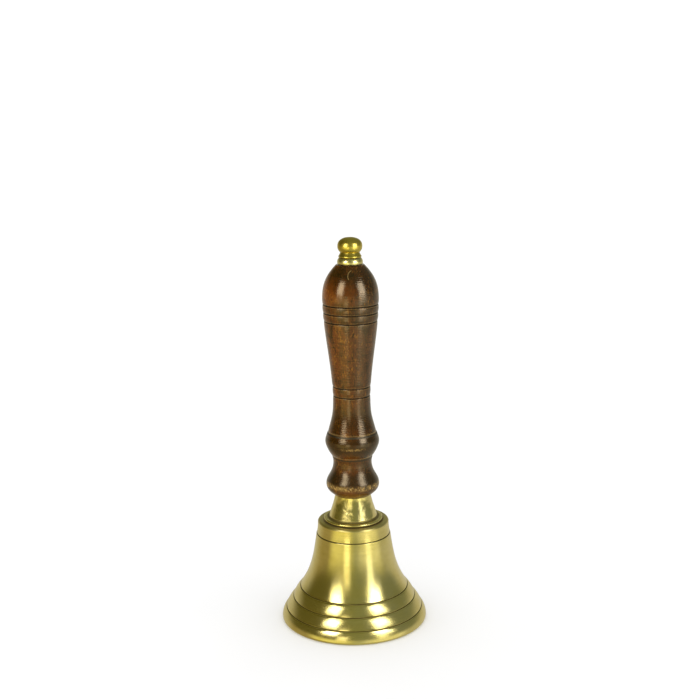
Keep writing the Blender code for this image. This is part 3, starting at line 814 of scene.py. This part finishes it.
        # Marks darken the scored lines with dirt and paint shade under the arris and at the bead's step.
        return self.mix(self.ramp(self.mark(), 0.05, 0.6, 0.0, 0.92), colour, BLACK_STAIN_AND_SHADE)

    def nicked(self, colour):
        """One curved scratch on the front of the dome, part of a circle round NICK_PLACE."""
        nick_x, nick_drop = NICK_PLACE
        across = self.math("SUBTRACT", self.x, nick_x)
        up = self.math("SUBTRACT", self.z, self.top - nick_drop)
        flat = self.add("CombineXYZ", {0: across, 1: up}).outputs[0]
        radius = self.add("VectorMath", {0: flat}, operation="LENGTH").outputs["Value"]
        line = self.ramp(self.away(radius, NICK_RADIUS), NICK_WIDTH, NICK_WIDTH * 0.3)
        left_part = self.math("LESS_THAN", self.x, nick_x - NICK_RADIUS * 0.35)
        upper_part = self.math("GREATER_THAN", self.z, self.top - nick_drop - NICK_RADIUS * 0.6)
        front = self.math("LESS_THAN", self.y, 0.0)
        scratch = self.times(self.times(self.times(line, left_part), upper_part), front)
        return self.mix(self.times(scratch, 0.8), colour, WORN_EDGE)

    def gloss(self):
        """Varnish, duller on the bulb and dull in the scored lines."""
        rough = self.ramp(self.mottle, 0.35, 0.65, 0.18, 0.115)
        bulb = self.ramp(self.z, self.foot + 24 * MM, self.foot + 16 * MM, 0.0, 0.07)
        rough = self.math("ADD", rough, bulb)
        return self.math("ADD", rough, self.ramp(self.mark(), 0.0, 0.6, 0.0, 0.3))

    def relief(self):
        wave = {"Vector": self.place(), "Scale": LATHE_WAVE, "Distortion": 1.5, "Detail": 2.0}
        wave["Detail Scale"] = 0.6
        turning = self.add("TexWave", wave, wave_type="BANDS", bands_direction="Z").outputs["Fac"]
        patchy = self.times(turning, self.ramp(self.blotches, 0.35, 0.65, 0.3, 1.0))
        normal = self.bump(patchy, 0.000025)
        normal = self.bump(self.rings, 0.00005, after=normal)
        normal = self.bump(self.fibres, 0.00002, after=normal)
        normal = self.bump(self.mottle, 0.00003, after=normal)
        return self.bump(self.flecks, 0.00002, after=normal)

    def finish(self):
        colour = self.uneven(self.grain(self.stain()))
        colour = self.nicked(self.edged(self.chipped_and_lit(colour)))
        self.put(self.shader.inputs["Base Color"], colour)
        self.put(self.shader.inputs["Roughness"], self.gloss())
        self.put(self.shader.inputs["Normal"], self.relief())
        return self.material


WOOD_HALF = 16 * MM
GRIP_FOOT = (55 * MM, 85 * MM)
GRIP_TOP = (20 * MM, 42 * MM)
# Bands of painted shade up the handle, on the cove, the bead and the waist.
PAINTED_SHADE_BANDS = (  # height above the foot, half width, strength
    (12 * MM, 7 * MM, 0.75),
    (21 * MM, 4 * MM, 0.3),
    (35 * MM, 9 * MM, 0.75),
    (52 * MM, 12 * MM, 0.55),
    (118 * MM, 10 * MM, 0.25),
    (143 * MM, 9 * MM, 0.45),
)
LATHE_WAVE = 300.0
# The bulb's crest, where its ring is partly bare wood and partly painted sheen.
BULB_WEAR_AND_SHEEN = BULB_HEIGHT + 0.3 * MM
WORN_BEAD = BEAD_HEIGHT - 1.9 * MM
ALL_ROUND = 1.0
# The bulb's ring is partly bare wood and partly a painted sheen along its crest; the bead's ring is bare
# wood.
WORN_AND_SHEEN_RINGS = (  # height above the foot, half width, strength, reach to either side of the middle
    (BULB_WEAR_AND_SHEEN, 2.6 * MM, 1.0, ALL_ROUND),
    (WORN_BEAD, 1.3 * MM, 0.8, 10 * MM),
)
NICK_PLACE = (1.9 * MM, 5.6 * MM)
NICK_RADIUS = 3.4 * MM
NICK_WIDTH = 0.28 * MM
VARNISH = (0.95, 0.76, 0.52, 1)
# Black stain, also used as painted shade under the arris and at the bead's step.
BLACK_STAIN_AND_SHADE = linear(20, 11, 0)
# Dark stain, also used for painted shade.
DARK_STAIN_AND_SHADE = linear(30, 16, 0)
BROWN_STAIN = linear(80, 38, 10)
WORN_BROWN = linear(98, 57, 30)
# Amber of thin stain, also used for painted warm light.
AMBER_STAIN_AND_LIGHT = linear(120, 58, 6)
# Colour of the painted light on the bulb's underside.
FOOT_PAINTED_LIGHT = linear(120, 80, 26)
GOLD_FLECK = linear(176, 118, 30)
# Bare worn wood, and on the bulb also a painted sheen.
WORN_GOLD_AND_SHEEN = linear(236, 190, 104)
WORN_EDGE = linear(146, 120, 70)
BRIGHT_BRASS = (0.86, 0.73, 0.32, 1)
WARM_BRASS = (0.81, 0.67, 0.23, 1)
TARNISHED_BRASS = (0.22, 0.16, 0.04, 1)
# Dirt in the scored lines, also used as painted shade in the creases and on the shoulder.
GROOVE_DIRT_AND_SHADE = (0.10, 0.07, 0.015, 1)
PALE_BRASS = (0.78, 0.68, 0.30, 1)
PALE_WORN_BRASS = (0.72, 0.60, 0.22, 1)
DEEP_BRASS = (0.66, 0.52, 0.10, 1)
DEEP_WORN_BRASS = (0.56, 0.42, 0.05, 1)
DULL_BRASS = (0.62, 0.50, 0.24, 1)
DULL_WORN_BRASS = (0.50, 0.38, 0.15, 1)
CAST_BRASS = (0.58, 0.47, 0.22, 1)
CAST_STAIN = (0.26, 0.19, 0.07, 1)


def dress(piece, body, node, slot, *materials):
    """Puts materials on a piece that stands for a CAD node, and says what it rides on."""
    for material in materials:
        piece.data.materials.append(material)
    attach(piece, body)
    if node:
        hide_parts(node)


bell_brass = brass("turned_brass", BRIGHT_BRASS, WARM_BRASS, 0.21, 0.000012, anisotropy=0.7)
neck_brass = brass("hand_polished_brass", BRIGHT_BRASS, WARM_BRASS, 0.20, 0.000006, lumps=0.0004)
ring_brass = brass("pale_brass", PALE_BRASS, PALE_WORN_BRASS, 0.30, 0.000006, lumps=0.00004)
ball_brass = brass("deep_brass", DEEP_BRASS, DEEP_WORN_BRASS, 0.30, 0.000006, lumps=0.00005)
dull_brass = brass("striker_brass", DULL_BRASS, DULL_WORN_BRASS, 0.34, 0.00002, lumps=0.00004)
inside_brass = cast_brass("cast_brass")
wood = Wood("stained_wood", bottom_of("handle") + TENON_LENGTH, top_of("handle")).finish()
rod_steel = steel("aged_steel")

dress(make_bell(), ROOT, "bell", "bell_brass", bell_brass, inside_brass)
dress(make_neck(), ROOT, "neck_socket", "neck_brass", neck_brass)
dress(make_handle(), ROOT, "handle", "handle_wood", wood)
dress(make_finial_collar(), ROOT, "finial_collar", "collar_brass", ring_brass)
dress(make_finial_ball(), ROOT, "finial_ball", "finial_brass", ball_brass)
rod, rod_eye = make_tie_rod()
dress(rod, ROOT, "tie_rod", "rod_steel", rod_steel)
dress(rod_eye, ROOT, None, "rod_steel", rod_steel)
dress(make_link(), "link", "clapper_link", "rod_steel", rod_steel)
stem, stem_eye = make_stem()
dress(stem, "clapper", "clapper_stem", "rod_steel", rod_steel)
dress(stem_eye, "clapper", None, "rod_steel", rod_steel)
dress(make_clapper_ball(), "clapper", "clapper_ball", "clapper_brass", dull_brass)
for node in ("crown_washer", "crown_nut", "clapper_nut"):
    for slot in frame["nodes"][node].material_slots:
        slot.material = rod_steel


# Studio

CAMERA_PLACE = (-0.0007, -0.7340, 0.3352)
CAMERA_TILT = math.radians(90 - 12.05)
CAMERA_ROLL = math.radians(-0.73)
LENS = 61.13


def make_camera():
    data = bpy.data.cameras.new("camera")
    data.lens = LENS
    data.sensor_width = 36.0
    data.clip_start = 0.01
    camera = bpy.data.objects.new("camera", data)
    turn = Matrix.Rotation(CAMERA_TILT, 4, "X") @ Matrix.Rotation(CAMERA_ROLL, 4, "Z")
    camera.matrix_world = Matrix.Translation(CAMERA_PLACE) @ turn
    bpy.context.scene.collection.objects.link(camera)
    bpy.context.scene.camera = camera


def softbox(name, azimuth, distance, low, high, width, lean, radiance, colour):
    """A panel standing round the bell, seen only in reflections.

    Azimuth 0 is in front and positive to the right. low and high are its ends above the floor, and lean
    turns it in its own plane.
    """
    light = bpy.data.lights.new(name, "AREA")
    light.shape = "RECTANGLE"
    light.size = width
    light.size_y = high - low
    light.energy = radiance * math.pi * light.size * light.size_y
    light.color = colour
    obj = bpy.data.objects.new(name, light)
    angle = math.radians(azimuth)
    place = Vector((distance * math.sin(angle), -distance * math.cos(angle), (low + high) / 2))
    facing = Vector((-place.x, -place.y, 0)).to_track_quat("-Z", "Y").to_matrix().to_4x4()
    obj.matrix_world = Matrix.Translation(place) @ facing @ Matrix.Rotation(math.radians(lean), 4, "Z")
    obj.visible_camera = False
    obj.visible_diffuse = False
    bpy.context.scene.collection.objects.link(obj)


FLOOR_GAP = 0.2 * MM


def make_floor():
    """A white paper floor, clear from below. The brass reflects the world's table in its place."""
    mesh = bpy.data.meshes.new("floor")
    bm = bmesh.new()
    bmesh.ops.create_circle(bm, cap_ends=True, segments=64, radius=4.0)
    bm.to_mesh(mesh)
    bm.free()
    floor = bpy.data.objects.new("floor", mesh)
    floor.location = (0, 0, -FLOOR_GAP)
    floor.visible_glossy = False
    bpy.context.scene.collection.objects.link(floor)
    look = Look("paper", Roughness=0.9, Specular_IOR_Level=0.0)
    tone = look.noise(look.place(), 6.0, detail=3.0)
    pale = look.mix(look.ramp(tone, 0.3, 0.7), (0.95, 0.95, 0.95, 1), (0.93, 0.93, 0.93, 1))
    look.put(look.shader.inputs["Base Color"], pale)
    below = look.add("NewGeometry").outputs["Backfacing"]
    clear = look.add("BsdfTransparent").outputs[0]
    shown = look.add("MixShader", {0: below, 1: look.shader.outputs[0], 2: clear}).outputs[0]
    look.put(look.tree.nodes["Material Output"].inputs["Surface"], shown)
    mesh.materials.append(look.material)


class Sky(Look):
    """The same short calls for the world's nodes."""

    def __init__(self, world):
        world.use_nodes = True
        self.tree = world.node_tree
        self.shader = self.tree.nodes["Background"]


WHITE_ROOM = (1.12, 1.12, 1.12, 1)
ROOM_LEFT = (0.11, 0.10, 0.02, 1)
ROOM_CENTRE = (0.23, 0.25, 0.13, 1)
ROOM_RIGHT = (0.19, 0.21, 0.15, 1)
FLOOR_LEFT = (0.38, 0.32, 0.16, 1)
FLOOR_CENTRE = (0.50, 0.52, 0.32, 1)
FLOOR_RIGHT = (0.54, 0.53, 0.42, 1)
GLOW_LEFT = (1.05, 0.98, 0.42, 1)
GLOW_RIGHT = (1.10, 1.08, 0.78, 1)
BACK_WALL = (0.60, 0.58, 0.48, 1)
LEFT_AZIMUTH = -38
RIGHT_AZIMUTH = 48


def make_world():
    """White for the camera and for soft light; in reflections a dim room, a table and a pale back wall."""
    world = bpy.data.worlds.new("studio")
    bpy.context.scene.world = world
    sky = Sky(world)
    direction = sky.add("TexCoord").outputs["Generated"]
    x, y, z = sky.add("SeparateXYZ", {0: direction}).outputs
    to_left = sky.ramp(x, 0.1, -0.75)
    to_right = sky.ramp(x, -0.1, 0.75)
    room = sky.mix(to_right, sky.mix(to_left, ROOM_CENTRE, ROOM_LEFT), ROOM_RIGHT)
    table = sky.mix(to_right, sky.mix(to_left, FLOOR_CENTRE, FLOOR_LEFT), FLOOR_RIGHT)
    for azimuth, glow in ((LEFT_AZIMUTH, GLOW_LEFT), (RIGHT_AZIMUTH, GLOW_RIGHT)):
        angle = math.radians(azimuth)
        lit = (math.sin(angle), -math.cos(angle), 0.0)
        along = sky.add("VectorMath", {0: direction, 1: lit}, operation="DOT_PRODUCT").outputs["Value"]
        table = sky.mix(sky.ramp(along, 0.72, 0.95), table, glow)
    around = sky.mix(sky.ramp(z, 0.04, -0.08), room, table)
    behind = sky.math("MULTIPLY", sky.ramp(y, 0.2, 0.9), sky.ramp(z, 0.40, 0.05))
    reflected = sky.mix(behind, around, BACK_WALL)
    glossy = sky.add("LightPath").outputs["Is Glossy Ray"]
    sky.put(sky.shader.inputs["Color"], sky.mix(glossy, WHITE_ROOM, reflected))


make_camera()
make_floor()
make_world()
softbox("left_softbox", -42, 0.45, 0.24, 0.56, 0.19, -5, 5.5, (1.0, 0.98, 0.88))
softbox("left_diffuser", -40, 0.46, 0.16, 0.60, 0.22, -8, 0.9, (1.0, 0.97, 0.80))
softbox("right_softbox", 48, 0.45, 0.22, 0.54, 0.20, 4, 5.5, (1.0, 1.0, 0.98))
softbox("right_diffuser", 49, 0.46, 0.14, 0.58, 0.26, 6, 0.9, (1.0, 1.0, 0.94))
softbox("left_strip", -18, 0.45, 0.0, 0.20, 0.12, -8, 1.4, (1.0, 0.95, 0.70))
softbox("right_strip", 42, 0.45, 0.0, 0.18, 0.12, 8, 1.1, (1.0, 1.0, 0.92))
bpy.context.scene.view_settings.view_transform = "Standard"
